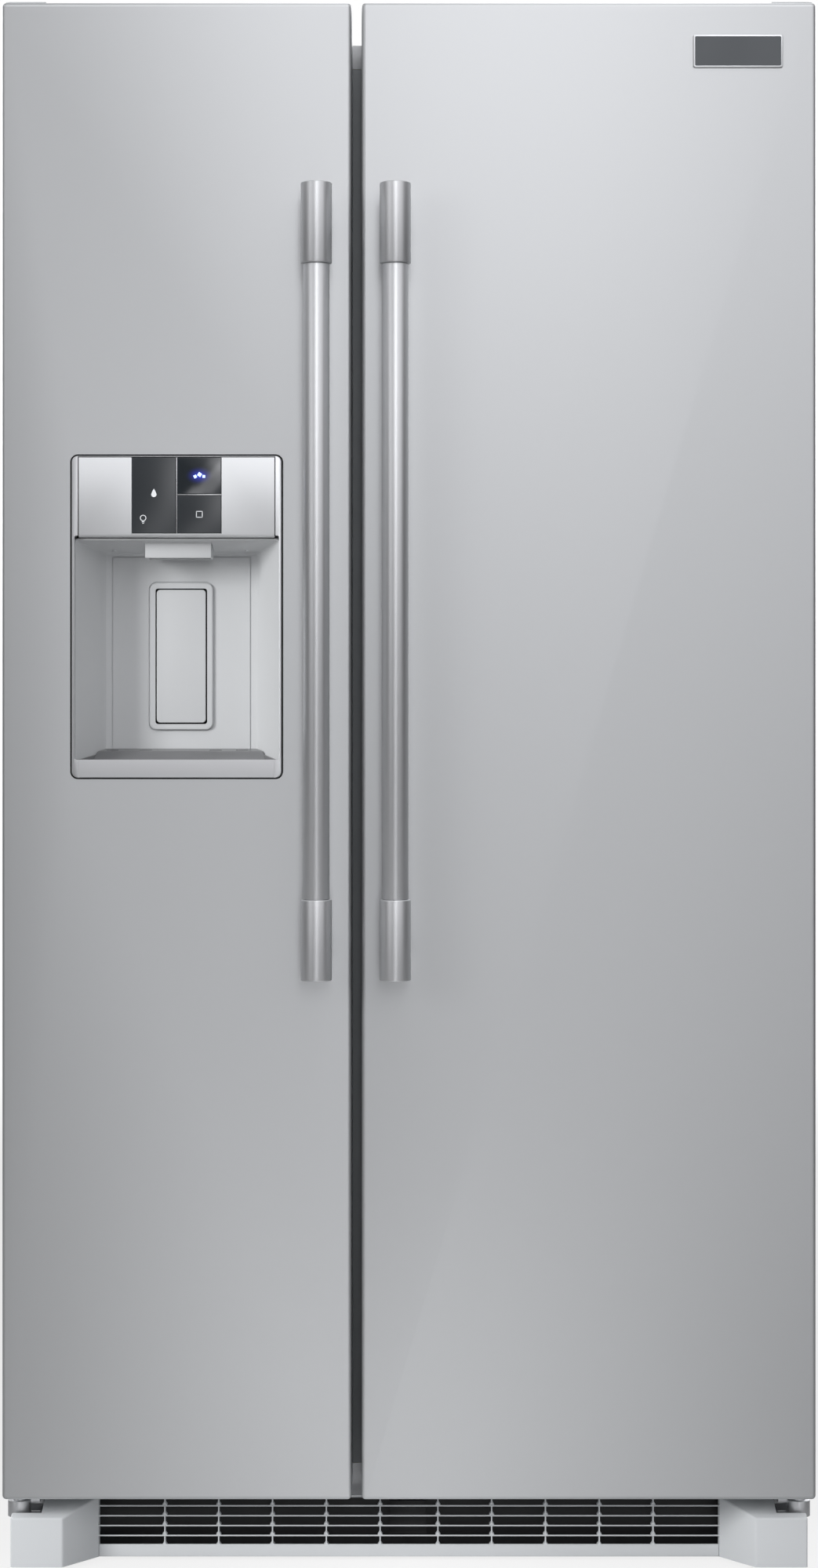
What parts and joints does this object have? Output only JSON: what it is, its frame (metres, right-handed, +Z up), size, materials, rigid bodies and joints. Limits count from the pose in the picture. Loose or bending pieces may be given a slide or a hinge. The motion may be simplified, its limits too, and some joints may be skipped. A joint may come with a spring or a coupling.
{
  "type": "side by side refrigerator",
  "caption": "Tall side by side refrigerator and freezer with upright bar handles, a water and ice dispenser in the narrower door, louvred toe grille and bins and drawers inside.",
  "frame": {"origin": "on the floor, under the middle of the whole appliance's width and depth", "axes": "+Z up, the doors face -Y, +X to the right seen from the front, where the fridge door is"},
  "size_m": [0.911, 0.7742, 1.775],
  "materials": {
    "cabinet_paint": "textured grey enamel on steel",
    "foam": "closed-cell insulation foam",
    "mullion_paint": "dark grey enamel",
    "liner_plastic": "white moulded plastic, satin",
    "zinc_sheet": "galvanised steel",
    "grille_plastic": "silver-grey moulded plastic, fine texture",
    "hinge_steel": "zinc plated steel",
    "grey_plastic": "grey moulded plastic",
    "black_metal": "black enamel",
    "black_plastic": "black moulded plastic",
    "roller_plastic": "hard grey plastic",
    "clear_plastic": "clear moulded plastic",
    "dispenser_plastic": "silver painted plastic",
    "bezel_metal": "bright anodised trim",
    "fascia_steel": "finely brushed metal sheet",
    "key_gloss": "black gloss touch keys",
    "badge_metal": "polished metal frame",
    "stainless_skin": "stainless steel, fine upright brushing",
    "gasket_rubber": "soft grey rubber",
    "handle_steel": "polished stainless steel"
  },
  "bodies": {
    "cabinet": {"cabinet_shell": "cabinet_paint", "cabinet_foam": "foam", "mullion_strip": "mullion_paint", "freezer_liner": "liner_plastic", "fridge_liner": "liner_plastic", "rear_panel": "zinc_sheet", "base_frame": "black_metal", "toe_grille": "grille_plastic", "upper_hinge_freezer": "hinge_steel", "upper_hinge_fridge": "hinge_steel", "lower_hinge_freezer": "hinge_steel", "lower_hinge_fridge": "hinge_steel", "hinge_cover_freezer": "grey_plastic", "hinge_cover_fridge": "grey_plastic", "compressor": "black_metal", "fridge_shelf_upper": "clear_plastic", "fridge_shelf_lower": "clear_plastic", "freezer_shelf": "clear_plastic", "ice_maker": "liner_plastic"},
    "freezer_door": {"freezer_door_skin": "stainless_skin", "freezer_door_liner": "liner_plastic", "freezer_door_cap_top": "grey_plastic", "freezer_door_cap_bottom": "grey_plastic", "freezer_door_gasket": "gasket_rubber", "freezer_handle_bar": "handle_steel", "freezer_handle_post_upper": "handle_steel", "freezer_handle_post_lower": "handle_steel", "freezer_door_bin_upper": "clear_plastic", "freezer_door_bin_lower": "clear_plastic", "dispenser_housing": "dispenser_plastic", "dispenser_bezel": "bezel_metal", "dispenser_fascia": "fascia_steel", "ice_chute": "dispenser_plastic"},
    "fridge_door": {"fridge_door_skin": "stainless_skin", "fridge_door_liner": "liner_plastic", "fridge_door_cap_top": "grey_plastic", "fridge_door_cap_bottom": "grey_plastic", "fridge_door_gasket": "gasket_rubber", "fridge_handle_bar": "handle_steel", "fridge_handle_post_upper": "handle_steel", "fridge_handle_post_lower": "handle_steel", "fridge_door_bin_lower": "clear_plastic", "fridge_door_bin_middle": "clear_plastic", "fridge_door_bin_upper": "clear_plastic", "badge": "badge_metal"},
    "condenser_fan": {"condenser_fan": "black_plastic"},
    "front_roller_left": {"front_roller_left": "roller_plastic"},
    "front_roller_right": {"front_roller_right": "roller_plastic"},
    "rear_rollers": {"rear_rollers": "roller_plastic"},
    "levelling_leg_left": {"levelling_leg_left": "hinge_steel"},
    "levelling_leg_right": {"levelling_leg_right": "hinge_steel"},
    "crisper_drawer": {"crisper_drawer": "clear_plastic"},
    "deli_drawer": {"deli_drawer": "clear_plastic"},
    "freezer_basket": {"freezer_basket": "liner_plastic"},
    "ice_bucket": {"ice_bucket": "clear_plastic"},
    "button_water": {"button_water": "key_gloss"},
    "button_crush": {"button_crush": "key_gloss"},
    "button_cube": {"button_cube": "key_gloss"},
    "dispenser_paddle": {"dispenser_paddle": "dispenser_plastic"},
    "drip_tray": {"drip_tray": "grey_plastic"}
  },
  "joints": [
    {"name": "freezer_door_hinge", "type": "hinge", "parent": "cabinet", "child": "freezer_door", "pos_m": [-0.4415, -0.27992, 0.9], "axis": [0, 0, -1], "range_deg": [0, 130]},
    {"name": "fridge_door_hinge", "type": "hinge", "parent": "cabinet", "child": "fridge_door", "pos_m": [0.4415, -0.27992, 0.9], "axis": [0, 0, 1], "range_deg": [0, 130]},
    {"name": "button_water_press", "type": "slide", "parent": "freezer_door", "child": "button_water", "axis": [0, 1, 0], "range_m": [0, 0.001], "stiffness_N_per_m": 800},
    {"name": "button_crush_press", "type": "slide", "parent": "freezer_door", "child": "button_crush", "axis": [0, 1, 0], "range_m": [0, 0.001], "stiffness_N_per_m": 800},
    {"name": "button_cube_press", "type": "slide", "parent": "freezer_door", "child": "button_cube", "axis": [0, 1, 0], "range_m": [0, 0.001], "stiffness_N_per_m": 800},
    {"name": "paddle_press", "type": "hinge", "parent": "freezer_door", "child": "dispenser_paddle", "pos_m": [-0.26, -0.25393, 1.098], "axis": [1, 0, 0], "range_deg": [0, 8], "stiffness_Nm_per_rad": 1.2},
    {"name": "drip_tray_lift", "type": "slide", "parent": "freezer_door", "child": "drip_tray", "axis": [0, 0, 1], "range_m": [0, 0.02]},
    {"name": "crisper_slide", "type": "slide", "parent": "cabinet", "child": "crisper_drawer", "axis": [0, -1, 0], "range_m": [0, 0.03]},
    {"name": "deli_slide", "type": "slide", "parent": "cabinet", "child": "deli_drawer", "axis": [0, -1, 0], "range_m": [0, 0.03]},
    {"name": "basket_slide", "type": "slide", "parent": "cabinet", "child": "freezer_basket", "axis": [0, -1, 0], "range_m": [0, 0.03]},
    {"name": "ice_bucket_slide", "type": "slide", "parent": "cabinet", "child": "ice_bucket", "axis": [0, -1, 0], "range_m": [0, 0.03]},
    {"name": "condenser_fan_spin", "type": "hinge", "parent": "cabinet", "child": "condenser_fan", "pos_m": [-0.07, 0.27908, 0.118], "axis": [1, 0, 0], "continuous": true},
    {"name": "front_roller_left_spin", "type": "hinge", "parent": "cabinet", "child": "front_roller_left", "pos_m": [-0.412, -0.17592, 0.0185], "axis": [1, 0, 0], "continuous": true},
    {"name": "front_roller_right_spin", "type": "hinge", "parent": "cabinet", "child": "front_roller_right", "pos_m": [0.412, -0.17592, 0.0185], "axis": [1, 0, 0], "continuous": true},
    {"name": "rear_rollers_spin", "type": "hinge", "parent": "cabinet", "child": "rear_rollers", "pos_m": [0, 0.35707, 0.019], "axis": [1, 0, 0], "continuous": true},
    {"name": "levelling_leg_left_turn", "type": "hinge", "parent": "cabinet", "child": "levelling_leg_left", "pos_m": [-0.424, -0.21393, 0.03], "axis": [0, 0, 1], "continuous": true},
    {"name": "levelling_leg_right_turn", "type": "hinge", "parent": "cabinet", "child": "levelling_leg_right", "pos_m": [0.424, -0.21393, 0.03], "axis": [0, 0, 1], "continuous": true}
  ]
}
